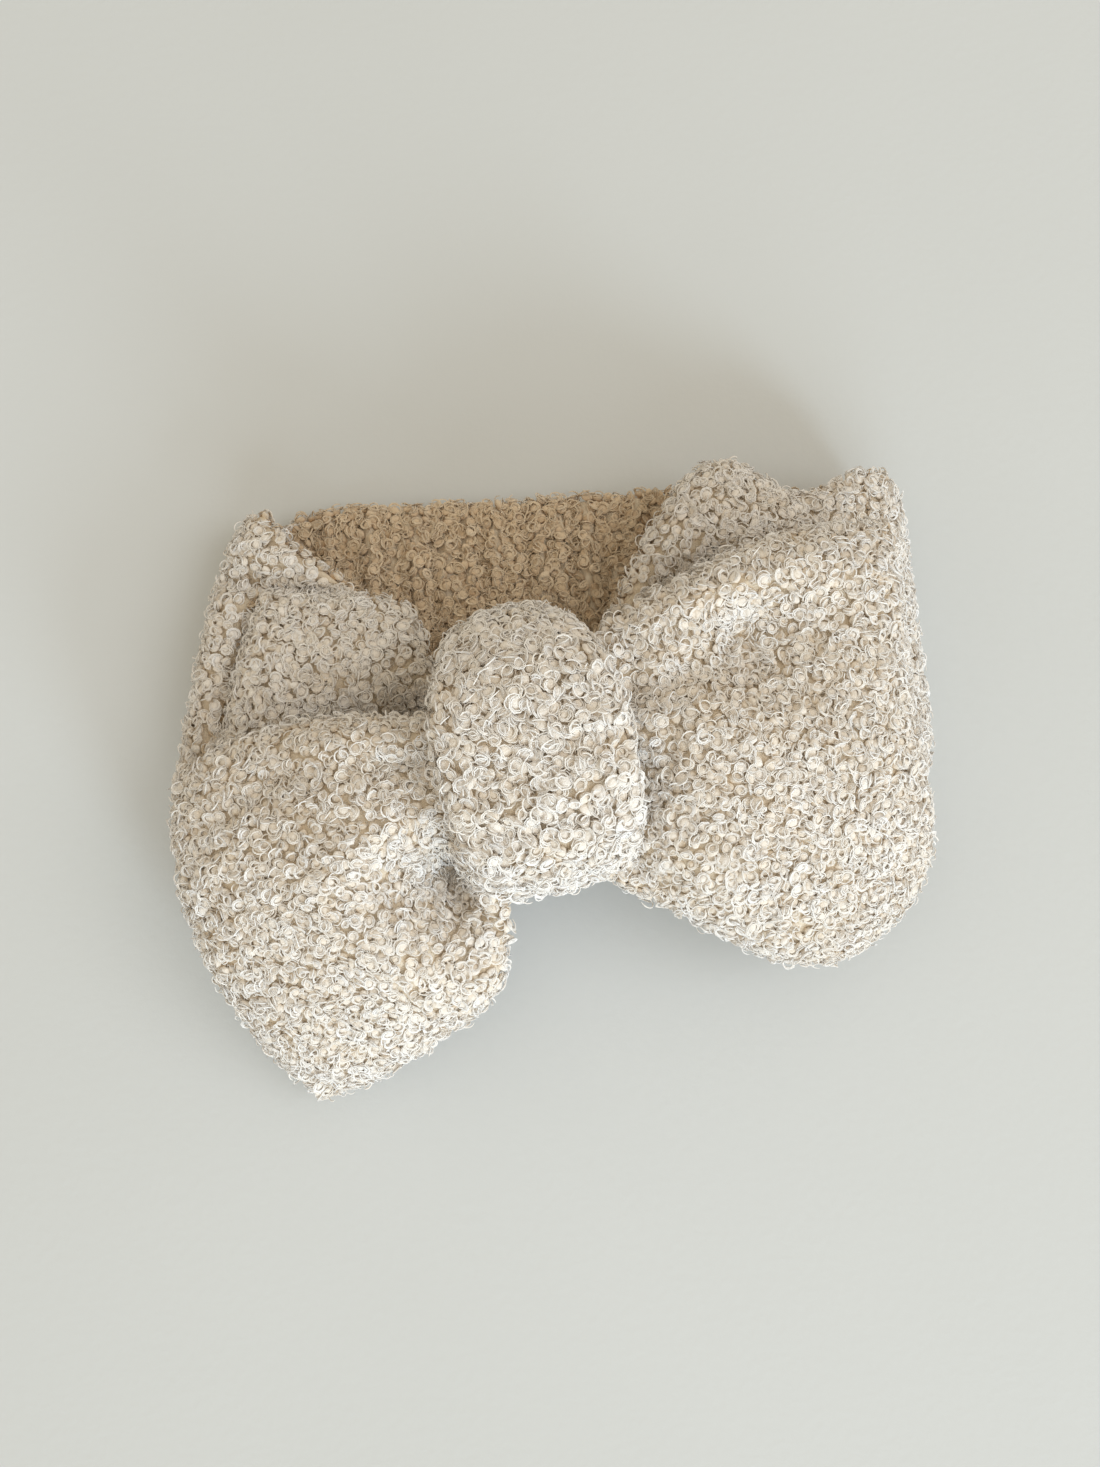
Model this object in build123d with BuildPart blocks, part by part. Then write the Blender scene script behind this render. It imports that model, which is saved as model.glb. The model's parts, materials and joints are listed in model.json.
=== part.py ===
"""Plush bow headband lying flat: a doubled fabric band, a centre knot and two hollow bow loops.

X runs along the band, Y across it towards the top of the head, Z is up from the table.
Plan positions are measured from the centre of the knot, which at() places in the part's frame.
"""

import os
from math import cos, radians, sin

from build123d import *

os.makedirs("parts", exist_ok=True)

# Driving dimensions, in millimetres
knot_x = -6.99375  # knot centre in the part's frame, which puts the origin under the part's middle
knot_y = 4.2290
knot_heading = 12.0  # degrees, the way the band and bow run through the knot
knot_length = 52.0
knot_width = 89.0
knot_height = 69.5
knot_wall = 6.4
knot_clearance = 1.05  # knot above the back band's inner face

fabric = 6.0  # thickness of one strip with its pile
lining = 5.8
seam_gap = 2.0  # between the two strips, filled by seam allowances and elastic
seam_thick = 1.4
seam_wide = 6.0
seam_inset = 2.0  # from a strip's edge to its seam allowance
fold_radius = 17.0  # outside radius of the band's side folds
elastic_thick = 1.3
elastic_wide = 70.0
tack_size = 5.0
slip = 0.4  # gap between pieces that move apart
corner = 2.0  # rounding of the flat strips' corners
edge_round = 0.45  # rounding of a strip's edges, as a share of its thickness

left_fold_top = (-82.3, 86.0)
left_fold_bottom = (-102.3, -13.0)
right_fold_top = (108.0, 100.5)
right_fold_bottom = (116.0, -4.5)

hinge_height = 56.0  # of both loops' pivots
loop_edge = 3.0  # half thickness of a loop at its seam
loop_gap = 0.9  # half the gap between a loop's two panels
loop_fabric = 6.0

back_top = fabric + seam_gap + lining
front_floor = 2 * fold_radius - fabric
knot_bottom = back_top + knot_clearance
knot_middle = knot_bottom + knot_height / 2

# Front strips: x, y, heading, outer (z, width, thickness), lining (z, width, thickness)
front_run = (
    (-91.9, 36.5, -11.4, (31.0, 101.0, 6.0), (23.1, 101.0, 5.8)),
    (-61.0, 14.0, -10.0, (33.0, 82.0, 7.0), (23.8, 80.0, 6.0)),
    (-40.0, 9.0, 0.0, (35.0, 74.0, 8.0), (25.0, 70.0, 7.0)),
    (-25.4, -5.4, 12.0, (38.5, 62.0, 10.0), (27.5, 46.0, 9.6)),
    (25.4, 5.4, 12.0, (38.5, 62.0, 10.0), (27.5, 46.0, 9.6)),
    (43.0, 24.0, 10.0, (36.0, 92.0, 8.5), (25.6, 88.0, 7.0)),
    (65.0, 41.0, 5.0, (34.0, 106.0, 7.5), (24.2, 104.0, 6.0)),
    (111.6, 48.0, 4.4, (31.0, 105.0, 6.0), (23.1, 105.0, 5.8)),
)

# Loops: distance from the hinge, low and high edge across, their heights with the middle's
# height between them, crown of the front panel and belly of the back one
left_hinge = (-38.4, -22.5)
left_heading = 204.5
left_stations = (
    (0, 40, -30, 56, 56, 56, 7, 7),
    (15, 61, -43, 40, 52, 51, 11, 7),
    (38, 69, -47, 18, 42, 46, 15, 9),
    (58, 70, -49, 9, 33, 43, 13, 8),
    (70, 56, -35, 11, 28, 38, 9, 6),
    (77, 31, -11, 17, 25, 31, 4, 3),
)
right_hinge = (38.2, 3.0)
right_heading = 6.0
right_stations = (
    (0, -50, 44, 56, 56, 56, 7, 7),
    (18, -66, 54, 30, 54, 57, 13, 7),
    (38, -75, 61, 14, 50, 56, 16, 8),
    (60, -74, 66, 13, 47, 52, 14, 8),
    (76, -64, 68, 17, 46, 50, 9, 6),
    (84, -56, 62, 19, 44, 48, 4, 3),
)
middle_share = -0.2  # where across a loop its middle height is given, -1 low edge to 1 high edge
shares = (-1.0, -0.85, -0.5, 0.0, 0.5, 0.85, 1.0)


def at(x, y, z=0.0):
    """A point given from the knot's centre, in the part's frame."""
    return Vector(knot_x + x, knot_y + y, z)


def across(x, y, z, heading):
    """Upright plane facing along heading, its local x across the band and local y up."""
    way = Vector(cos(radians(heading)), sin(radians(heading)), 0)
    side = Vector(-way.Y, way.X, 0)
    return Plane(origin=at(x, y, z), x_dir=side, z_dir=way)


def toward(start, end, distance):
    """Point at a distance along the line from start to end."""
    run = ((end[0] - start[0]) ** 2 + (end[1] - start[1]) ** 2) ** 0.5
    part = distance / run
    return (start[0] + (end[0] - start[0]) * part, start[1] + (end[1] - start[1]) * part)


# Back band: two flat strips with the elastic and the edge seams between them
back_corners = (
    toward(left_fold_top, right_fold_top, slip),
    toward(right_fold_top, left_fold_top, slip),
    toward(right_fold_bottom, left_fold_bottom, slip),
    toward(left_fold_bottom, right_fold_bottom, slip),
)


def back_strip(label, floor, thick):
    """One flat strip of the back band between its two side folds."""
    with BuildPart() as strip:
        with BuildSketch(Plane.XY.offset(floor)):
            with BuildLine():
                Polyline(*[at(x, y) for x, y in back_corners], close=True)
            make_face()
        extrude(amount=thick)
        fillet(strip.edges().filter_by(Axis.Z), radius=corner)
    strip.part.label = label
    export_step(strip.part, f"parts/{label}.step")


def back_seam(label, left_corner, left_far, right_corner, right_far):
    """Seam allowance along one edge of the back band, between the two strips."""
    outline = (
        toward(left_corner, left_far, seam_inset),
        toward(right_corner, right_far, seam_inset),
        toward(right_corner, right_far, seam_inset + seam_wide),
        toward(left_corner, left_far, seam_inset + seam_wide),
    )
    with BuildPart() as seam:
        with BuildSketch(Plane.XY.offset(fabric + (seam_gap - seam_thick) / 2)):
            with BuildLine():
                Polyline(*[at(x, y) for x, y in outline], close=True)
            make_face()
        extrude(amount=seam_thick)
    seam.part.label = label
    export_step(seam.part, f"parts/{label}.step")


back_strip("back_band_outer", 0.0, fabric)
back_strip("back_band_inner", fabric + seam_gap, lining)
top_left, top_right, bottom_right, bottom_left = back_corners
back_seam("back_top_seam", top_left, bottom_left, top_right, bottom_right)
back_seam("back_bottom_seam", bottom_left, top_left, bottom_right, top_right)

# Elastic in the back band, with a bar tack across each end
elastic_x = 6.0
elastic_y = 40.0
elastic_heading = 4.4
elastic_length = 176.0
elastic_floor = fabric + (seam_gap - elastic_thick) / 2
elastic_way = Vector(cos(radians(elastic_heading)), sin(radians(elastic_heading)), 0)
elastic_plane = Plane(origin=at(elastic_x, elastic_y, elastic_floor), x_dir=elastic_way, z_dir=(0, 0, 1))
with BuildPart() as back_elastic:
    with BuildSketch(elastic_plane):
        RectangleRounded(elastic_length, elastic_wide, corner)
        with GridLocations(elastic_length - 2 * tack_size, 0, 2, 1):
            Rectangle(tack_size, elastic_wide - 2 * tack_size, mode=Mode.SUBTRACT)
    extrude(amount=elastic_thick)
back_elastic.part.label = "back_elastic"
export_step(back_elastic.part, "parts/back_elastic.step")

for label, side in (("elastic_tack_left", -1), ("elastic_tack_right", 1)):
    with BuildPart() as elastic_tack:
        with BuildSketch(elastic_plane):
            with Locations((side * (elastic_length / 2 - tack_size), 0)):
                Rectangle(tack_size - slip, elastic_wide - 2 * tack_size - slip)
        extrude(amount=elastic_thick)
    elastic_tack.part.label = label
    export_step(elastic_tack.part, f"parts/{label}.step")


# Side folds: each strip turns round from the back of the ring to the front
def side_fold(label, top, bottom, outside, thick, turn):
    """Half-round fold of one strip, running from the band's top edge to its bottom edge."""
    start = at(*top, fold_radius)
    run = at(*bottom, fold_radius) - start
    outward = Vector(-run.Y, run.X, 0) * turn
    with BuildPart() as fold:
        with BuildSketch(Plane(origin=start, x_dir=outward, z_dir=run)):
            with BuildLine():
                Line((0, outside - thick), (0, outside))
                RadiusArc((0, outside), (0, -outside), outside)
                Line((0, -outside), (0, thick - outside))
                RadiusArc((0, thick - outside), (0, outside - thick), thick - outside)
            make_face()
        extrude(amount=run.length)
    fold.part.label = label
    export_step(fold.part, f"parts/{label}.step")


lining_radius = fold_radius - fabric - seam_gap
side_fold("left_fold_outer", left_fold_top, left_fold_bottom, fold_radius, fabric, -1)
side_fold("left_fold_lining", left_fold_top, left_fold_bottom, lining_radius, lining, -1)
side_fold("right_fold_outer", right_fold_top, right_fold_bottom, fold_radius, fabric, 1)
side_fold("right_fold_lining", right_fold_top, right_fold_bottom, lining_radius, lining, 1)


# Front band: wide at the side folds, pulled narrow and thick inside the knot
def front_strip(label, layer):
    """One strip of the front band, from the left fold through the knot to the right fold."""
    with BuildPart() as strip:
        for station in front_run:
            x, y, heading = station[:3]
            z, width, thick = station[layer]
            with BuildSketch(across(x, y, z, heading)):
                RectangleRounded(width, thick, edge_round * thick)
        loft(ruled=True)
    strip.part.label = label
    export_step(strip.part, f"parts/{label}.step")


def front_seam(label, stations, side):
    """Seam allowance along one edge of half the front band, between its two strips."""
    with BuildPart() as seam:
        for x, y, heading, outer, inner in stations:
            ceiling = outer[0] - outer[2] / 2
            floor = inner[0] + inner[2] / 2
            middle = (ceiling + floor) / 2
            reach = min(outer[1], inner[1]) / 2 - seam_inset - seam_wide * 2 / 3
            with BuildSketch(across(x, y, middle, heading)):
                with Locations((side * reach, 0)):
                    Rectangle(seam_wide, ceiling - floor - 2 * slip)
        loft(ruled=True)
    seam.part.label = label
    export_step(seam.part, f"parts/{label}.step")


front_strip("front_band_outer", 3)
front_strip("front_band_lining", 4)
front_seam("front_top_seam_left", front_run[:3], 1)
front_seam("front_bottom_seam_left", front_run[:3], -1)
front_seam("front_top_seam_right", front_run[5:], 1)
front_seam("front_bottom_seam_right", front_run[5:], -1)

# Knot: a wrap sewn into a ring round the bow's centre and the front band
bore_width = knot_width - 2 * knot_wall
bore_height = knot_height - 2 * knot_wall
bore_corner = 22.0
knot_corner = 27.0
shoulder = 0.7  # share of the half length where the wrap starts to round over
shoulder_shrink = 2.0
end_shrink = 11.0
knot_profile = (
    (-1, end_shrink),
    (-shoulder, shoulder_shrink),
    (0, 0),
    (shoulder, shoulder_shrink),
    (1, end_shrink),
)
with BuildPart() as knot_wrap:
    for share, shrink in knot_profile:
        with BuildSketch(across(0, 0, knot_middle, knot_heading).offset(share * knot_length / 2)):
            RectangleRounded(knot_width - shrink, knot_height - shrink, knot_corner)
    loft()
    with BuildSketch(across(0, 0, knot_middle, knot_heading)):
        RectangleRounded(bore_width, bore_height, bore_corner)
    extrude(amount=knot_length, both=True, mode=Mode.SUBTRACT)
knot_wrap.part.label = "knot_wrap"
export_step(knot_wrap.part, "parts/knot_wrap.step")

# Closing seam of the wrap, inside it at the bottom
knot_seam_thick = 1.2
knot_seam_wide = 8.0
knot_seam_inset = 4.0  # from the wrap's ends
knot_seam_gap = 0.2
with BuildPart() as knot_seam:
    with BuildSketch(across(0, 0, knot_bottom + knot_wall + knot_seam_gap, knot_heading)):
        with Locations((0, knot_seam_thick / 2)):
            Rectangle(knot_seam_wide, knot_seam_thick)
    extrude(amount=knot_length / 2 - knot_seam_inset, both=True)
knot_seam.part.label = "knot_seam"
export_step(knot_seam.part, "parts/knot_seam.step")

# Bow centre: the gathered middle of the bow, reaching out of the knot to a round socket at each
# loop's pivot, cut back above the pivot to let the lifted loop pass
centre_width = 66.0
centre_height = 30.0
centre_corner = 14.5
centre_z = 60.5
root_width = 62.0
root_height = 17.0
socket_radius = loop_edge + left_stations[0][6] + slip
swing_radius = 18.0  # of the cut above the pivot
with BuildPart() as bow_center:
    with BuildSketch(across(0, 0, centre_z, knot_heading)):
        RectangleRounded(centre_width, centre_height, centre_corner)
    extrude(amount=knot_length / 2, both=True)
    for hinge, heading, side in (
        (left_hinge, left_heading - 180, -1),
        (right_hinge, right_heading, 1),
    ):
        with BuildSketch(across(0, 0, centre_z, knot_heading).offset(side * knot_length / 2)):
            RectangleRounded(centre_width, centre_height, centre_corner)
        with BuildSketch(across(*hinge, hinge_height, heading)):
            RectangleRounded(root_width, root_height, edge_round * root_height)
        loft()
        root_plane = across(*hinge, hinge_height, heading)
        with BuildSketch(Plane(origin=root_plane.origin, x_dir=root_plane.z_dir, z_dir=-root_plane.x_dir)):
            Circle(swing_radius)
            with Locations((0, -swing_radius / 2)):
                Rectangle(2 * swing_radius, swing_radius, mode=Mode.SUBTRACT)
            Circle(socket_radius)
        extrude(amount=root_width, both=True, mode=Mode.SUBTRACT)
bow_center.part.label = "bow_center"
export_step(bow_center.part, "parts/bow_center.step")

# Gathering thread wound round the bow's centre
thread_gap = 0.2
thread_thick = 1.2
thread_wide = 4.0
with BuildPart() as gather_thread:
    with BuildSketch(across(0, 0, centre_z, knot_heading)):
        for grow, mode in ((thread_gap + thread_thick, Mode.ADD), (thread_gap, Mode.SUBTRACT)):
            width = centre_width + 2 * grow
            height = centre_height + 2 * grow
            RectangleRounded(width, height, centre_corner + grow, mode=mode)
    extrude(amount=thread_wide / 2, both=True)
gather_thread.part.label = "gather_thread"
export_step(gather_thread.part, "parts/gather_thread.step")

# Tack that holds the bow's centre to the front band
tack_height = 1.3
tack_wide = 14.0
tack_long = 3.0
tack_z = 44.5
tack_offset = 10.0  # from the knot's middle, clear of the thread
with BuildPart() as bow_tack:
    with BuildSketch(across(0, 0, tack_z, knot_heading).offset(tack_offset)):
        Rectangle(tack_wide, tack_height)
    extrude(amount=tack_long)
bow_tack.part.label = "bow_tack"
export_step(bow_tack.part, "parts/bow_tack.step")


# Bow loops: a front and a back panel with a hollow between them and a seam round three sides
root_arc = 85.0  # how far a panel's root wraps round its hinge line
seam_outer = 0.97  # reach of a loop's seam allowance across the loop, and of the window inside it
seam_inner = 0.86
window_half = 2.0
seam_slip = 0.1


def mid_height(station, share):
    """Height of the surface midway between a loop's panels, by a parabola through three heights."""
    low, middle, high = station[3:6]
    a, b, c = -1.0, middle_share, 1.0
    return (
        low * (share - b) * (share - c) / ((a - b) * (a - c))
        + middle * (share - a) * (share - c) / ((b - a) * (b - c))
        + high * (share - a) * (share - b) / ((c - a) * (c - b))
    )


def loop_point(station, share, height):
    """Point in a loop's section: across by share between its edges, and height above the middle."""
    low, high = station[1:3]
    return ((low + high) / 2 + share * (high - low) / 2, mid_height(station, share) + height)


def panel_outline(station, side):
    """Outer and inner edge points of one panel's section. side is 1 for front and -1 for back."""
    rise = station[6] if side > 0 else station[7]
    hollow = max(rise - loop_fabric, 0.0)
    outer = []
    inner = []
    for share in shares:
        bulge = 1 - share**2
        outer.append(loop_point(station, share, side * (loop_edge + rise * bulge**0.6)))
        inner.append(loop_point(station, share, side * (loop_gap + hollow * bulge)))
    return outer, inner


def loop_plane(hinge, heading, distance):
    """Section plane of a loop at a distance from its hinge, with local y measured from the table."""
    return across(*hinge, 0, heading).offset(distance)


def panel_section(plane, station, side):
    """Closed sketch of one panel's section."""
    outer, inner = panel_outline(station, side)
    with BuildSketch(plane) as section:
        with BuildLine():
            Spline(*outer)
            Line(outer[-1], inner[-1])
            Spline(*reversed(inner))
            Line(inner[0], outer[0])
        make_face()
    return section.sketch.faces()


def loop_panel(label, hinge, heading, stations, side):
    """One panel of a loop, with its root rounded about the hinge line."""
    planes = [loop_plane(hinge, heading, station[0]) for station in stations]
    sections = [panel_section(plane, station, side) for plane, station in zip(planes, stations)]
    line = across(*hinge, hinge_height, heading).x_dir
    pivot = Axis(at(*hinge, hinge_height), line if side > 0 else -line)
    with BuildPart() as panel:
        loft(sections=[section[0] for section in sections], ruled=True)
        revolve(sections[0], axis=pivot, revolution_arc=-root_arc)
    panel.part.label = label
    export_step(panel.part, f"parts/{label}.step")


def plate_section(plane, station, reach, half_thick):
    """Closed sketch of a thin plate along the surface midway between a loop's panels."""
    upper = [loop_point(station, reach * share, half_thick) for share in shares]
    lower = [loop_point(station, reach * share, -half_thick) for share in shares]
    with BuildSketch(plane) as section:
        with BuildLine():
            Spline(*upper)
            Line(upper[-1], lower[-1])
            Spline(*reversed(lower))
            Line(lower[0], upper[0])
        make_face()
    return section.sketch.faces()[0]


def loop_seam(label, hinge, heading, stations):
    """Seam allowance round a loop's low, outer and high edges, between its panels."""
    half = seam_thick / 2 - seam_slip
    planes = [loop_plane(hinge, heading, station[0]) for station in stations]
    plate = [plate_section(plane, station, seam_outer, half) for plane, station in zip(planes, stations)]
    window = [
        plate_section(plane, station, seam_inner, window_half)
        for plane, station in zip(planes[:-1], stations[:-1])
    ]
    with BuildPart() as seam:
        loft(sections=plate, ruled=True)
        loft(sections=window, ruled=True, mode=Mode.SUBTRACT)
    seam.part.label = label
    export_step(seam.part, f"parts/{label}.step")


for name, hinge, heading, stations in (
    ("left_loop", left_hinge, left_heading, left_stations),
    ("right_loop", right_hinge, right_heading, right_stations),
):
    loop_panel(f"{name}_front", hinge, heading, stations, 1)
    loop_panel(f"{name}_back", hinge, heading, stations, -1)
    loop_seam(f"{name}_seam", hinge, heading, stations)
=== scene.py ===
import json
import math

import bmesh
import bpy
import numpy as np
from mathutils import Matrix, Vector


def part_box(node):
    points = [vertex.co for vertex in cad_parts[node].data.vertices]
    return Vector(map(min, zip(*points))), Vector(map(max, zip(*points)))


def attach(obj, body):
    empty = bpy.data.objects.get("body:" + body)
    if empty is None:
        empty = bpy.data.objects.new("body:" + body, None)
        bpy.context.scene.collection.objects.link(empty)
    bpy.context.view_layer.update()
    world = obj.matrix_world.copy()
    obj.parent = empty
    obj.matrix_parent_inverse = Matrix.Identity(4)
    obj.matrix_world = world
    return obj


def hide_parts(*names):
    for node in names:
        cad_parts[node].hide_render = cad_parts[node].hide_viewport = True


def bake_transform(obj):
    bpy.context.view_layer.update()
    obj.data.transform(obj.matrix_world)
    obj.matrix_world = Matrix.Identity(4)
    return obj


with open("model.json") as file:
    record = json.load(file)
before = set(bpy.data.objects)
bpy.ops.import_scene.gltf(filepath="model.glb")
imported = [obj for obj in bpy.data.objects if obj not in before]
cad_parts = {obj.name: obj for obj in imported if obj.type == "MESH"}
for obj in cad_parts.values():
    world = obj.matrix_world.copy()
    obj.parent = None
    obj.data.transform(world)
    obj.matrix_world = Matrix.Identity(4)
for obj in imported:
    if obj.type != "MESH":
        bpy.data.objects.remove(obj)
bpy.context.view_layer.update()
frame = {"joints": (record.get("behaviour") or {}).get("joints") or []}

MM = 0.001
rng = np.random.default_rng(11)

# Places read from the frame, in millimetres: the knot's middle in plan, its underside and its top
knot_low, knot_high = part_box("knot_wrap")
KNOT = np.array([(knot_low[0] + knot_high[0]) / 2, (knot_low[1] + knot_high[1]) / 2]) / MM
KNOT_FLOOR, KNOT_TOP = knot_low[2] / MM, knot_high[2] / MM

# Driving dimensions, in millimetres
KNOT_HEADING = math.radians(12.0)  # the knot's turn in plan
KNOT_LENGTH = 52.0
KNOT_WIDTH = 89.0
PILE = 3.4  # how far the curls stand off the backing
FOLD_RADIUS = 17.0
WRAP_THICK = 4.0
SETTLE_FRAMES = 20
SETTLE_MOST = 2.5  # how far the settling may move a point
SETTLE_PRESSURE = 4.0  # in Blender's own unit
GRIP_REACH = 45.0  # how far from the knot's middle a loop is still partly held
GRIP_FADE = 12.0
CURL_SPACING = 2.5  # least distance between two curls
SPARSE_SPACING = 1.15  # times wider on the faces that are seldom seen
CURLS_PER_PIECE = 650
OPEN_LIFT = 1.15  # how far curls stand off the band's open faces
PRESSED_LIFT = 0.4  # and off its underside and the inside of its folds


# ---------------------------------------------------------------- smooth surfaces

def spline_weights(knots, at, closed=False):
    """Rows of weights of a cubic spline through values at knots, for each point in at."""
    knots = np.asarray(knots, float)
    count = len(knots)
    gaps = np.diff(knots)
    left = np.eye(count)
    right = np.zeros((count, count))
    for i in range(1, count - 1):
        left[i, i - 1:i + 2] = gaps[i - 1], 2 * (gaps[i - 1] + gaps[i]), gaps[i]
        right[i, i - 1:i + 2] = 6 / gaps[i - 1], -6 / gaps[i - 1] - 6 / gaps[i], 6 / gaps[i]
    if closed:
        left[0, :2] = 2 * (gaps[-1] + gaps[0]), gaps[0]
        left[0, count - 2] = gaps[-1]
        right[0, :2] = -6 / gaps[-1] - 6 / gaps[0], 6 / gaps[0]
        right[0, count - 2] = 6 / gaps[-1]
        left[-1] = 0
        left[-1, 0], left[-1, -1] = 1, -1
    bends = np.linalg.solve(left, right)
    rows = np.zeros((len(at), count))
    for row, x in zip(rows, at):
        i = int(np.clip(np.searchsorted(knots, x) - 1, 0, count - 2))
        after, before, gap = knots[i + 1] - x, x - knots[i], gaps[i]
        row += (bends[i] * after**3 + bends[i + 1] * before**3) / (6 * gap)
        row -= (bends[i] * after + bends[i + 1] * before) * gap / 6
        row[i] += after / gap
        row[i + 1] += before / gap
    return rows


def surface(controls, rows, columns, at_rows, at_columns):
    """Smooth surface through a net of control points."""
    net = np.asarray(controls, float)
    down = spline_weights(rows, at_rows)
    along = spline_weights(columns, at_columns)
    return np.einsum("ai,ijk,bj->abk", down, net, along)


def grid_normals(points, wrap_rows=False, wrap_columns=False):
    """Unit normals of a grid of points, by differences along both directions."""
    def slope(values, axis, wrap):
        if wrap:
            return np.roll(values, -1, axis) - np.roll(values, 1, axis)
        return np.gradient(values, axis=axis)
    normals = np.cross(slope(points, 0, wrap_rows), slope(points, 1, wrap_columns))
    return normals / np.maximum(np.linalg.norm(normals, axis=2, keepdims=True), 1e-9)


def segment_distance(points, start, end):
    """Plan distance of points from a segment."""
    start, end = np.array(start, float), np.array(end, float)
    run = end - start
    share = np.clip(((points - start) @ run) / (run @ run), 0, 1)
    return np.linalg.norm(points - start - share[..., None] * run, axis=-1)


def groove(points, path, depth, width):
    """How far a crease along a path of plan points lowers each point."""
    near = np.min([segment_distance(points, a, b) for a, b in zip(path, path[1:])], axis=0)
    return depth * np.exp(-((near / width) ** 2))


def mound(points, centre, reach, height):
    """How far a soft mound raises each point."""
    offset = (points - np.array(centre)) / np.array(reach)
    return height * np.exp(-(offset**2).sum(-1) / 2)


def to_row(points):
    """From millimetres about the knot to metres in the row frame."""
    points = np.array(points, float)
    points[..., :2] += KNOT
    return points * MM


def make_mesh(name, points, faces):
    """Mesh object from points in millimetres about the knot."""
    mesh = bpy.data.meshes.new(name)
    mesh.from_pydata(to_row(points).reshape(-1, 3).tolist(), [], faces)
    mesh.validate()
    piece = bpy.data.objects.new(name, mesh)
    bpy.context.scene.collection.objects.link(piece)
    for polygon in mesh.polygons:
        polygon.use_smooth = True
    return piece


def grid_faces(rows, columns, wrap_rows=False, wrap_columns=False):
    """Quads of a grid numbered row by row."""
    faces = []
    for i in range(rows if wrap_rows else rows - 1):
        for j in range(columns if wrap_columns else columns - 1):
            here, below = i * columns, (i + 1) % rows * columns
            beside = (j + 1) % columns
            faces.append((here + j, below + j, below + beside, here + beside))
    return faces


def tidy(piece, merge=0.02):
    """Weld a mesh's doubled points and turn its faces outward, if it is closed."""
    work = bmesh.new()
    work.from_mesh(piece.data)
    bmesh.ops.remove_doubles(work, verts=work.verts, dist=merge * MM)
    bmesh.ops.recalc_face_normals(work, faces=work.faces)
    if work.calc_volume(signed=True) < 0:
        bmesh.ops.reverse_faces(work, faces=work.faces)
    work.to_mesh(piece.data)
    work.free()
    return piece


# ---------------------------------------------------------------- materials

def material(name):
    made = bpy.data.materials.new(name)
    made.use_nodes = True
    nodes = made.node_tree.nodes
    links = made.node_tree.links
    return made, nodes, links, nodes["Principled BSDF"]


def noise_node(nodes, links, scale, detail=3.0):
    place = nodes.new("ShaderNodeTexCoord")
    made = nodes.new("ShaderNodeTexNoise")
    made.inputs["Scale"].default_value = scale
    made.inputs["Detail"].default_value = detail
    links.new(place.outputs["Object"], made.inputs["Vector"])
    return made


def ramp_node(nodes, stops):
    made = nodes.new("ShaderNodeValToRGB")
    ramp = made.color_ramp
    ramp.elements[0].position, ramp.elements[0].color = stops[0][0], (*stops[0][1], 1)
    ramp.elements[1].position, ramp.elements[1].color = stops[-1][0], (*stops[-1][1], 1)
    for position, color in stops[1:-1]:
        ramp.elements.new(position).color = (*color, 1)
    return made


def curl_material(name, root_shade, tip):
    """Yarn of the curls: painted shade makes it darker and warmer towards the roots, and each curl is a
    little different in tone.
    """
    made, nodes, links, shader = material(name)
    depth = nodes.new("ShaderNodeAttribute")
    depth.attribute_name = "depth"
    tone = nodes.new("ShaderNodeAttribute")
    tone.attribute_name = "tone"
    middle = tuple(0.35 * a + 0.65 * b for a, b in zip(root_shade, tip))
    # painted shade: by depth, from the shaded root colour at the cloth to the tip colour at the curl's top
    ramp = ramp_node(nodes, ((0.0, root_shade), (0.42, middle), (0.85, tip)))
    links.new(depth.outputs["Fac"], ramp.inputs["Fac"])
    warm = nodes.new("ShaderNodeMix")
    warm.data_type = "RGBA"
    warm.blend_type = "MULTIPLY"
    warm.inputs["B"].default_value = (0.96, 0.93, 0.88, 1)
    links.new(tone.outputs["Fac"], warm.inputs["Factor"])
    links.new(ramp.outputs["Color"], warm.inputs["A"])
    links.new(warm.outputs["Result"], shader.inputs["Base Color"])
    fibre = noise_node(nodes, links, 1900.0, 3.0)
    bump = nodes.new("ShaderNodeBump")
    bump.inputs["Strength"].default_value = 0.8
    bump.inputs["Distance"].default_value = 0.0004
    links.new(fibre.outputs["Fac"], bump.inputs["Height"])
    links.new(bump.outputs["Normal"], shader.inputs["Normal"])
    shader.inputs["Roughness"].default_value = 0.92
    shader.inputs["Specular IOR Level"].default_value = 0.15
    shader.inputs["Sheen Weight"].default_value = 0.6
    shader.inputs["Sheen Roughness"].default_value = 0.5
    return made


def backing_material(name, low, high):
    """Knit backing that shows between the curls, in a darker tan that is painted shade down between them,
    mottled at random.
    """
    made, nodes, links, shader = material(name)
    cloud = noise_node(nodes, links, 420.0, 4.0)
    ramp = ramp_node(nodes, ((0.3, low), (0.7, high)))
    links.new(cloud.outputs["Fac"], ramp.inputs["Fac"])
    links.new(ramp.outputs["Color"], shader.inputs["Base Color"])
    fine = noise_node(nodes, links, 1500.0, 3.0)
    bump = nodes.new("ShaderNodeBump")
    bump.inputs["Strength"].default_value = 0.8
    bump.inputs["Distance"].default_value = 0.0006
    links.new(fine.outputs["Fac"], bump.inputs["Height"])
    links.new(bump.outputs["Normal"], shader.inputs["Normal"])
    shader.inputs["Roughness"].default_value = 0.95
    shader.inputs["Specular IOR Level"].default_value = 0.1
    return made


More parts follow.
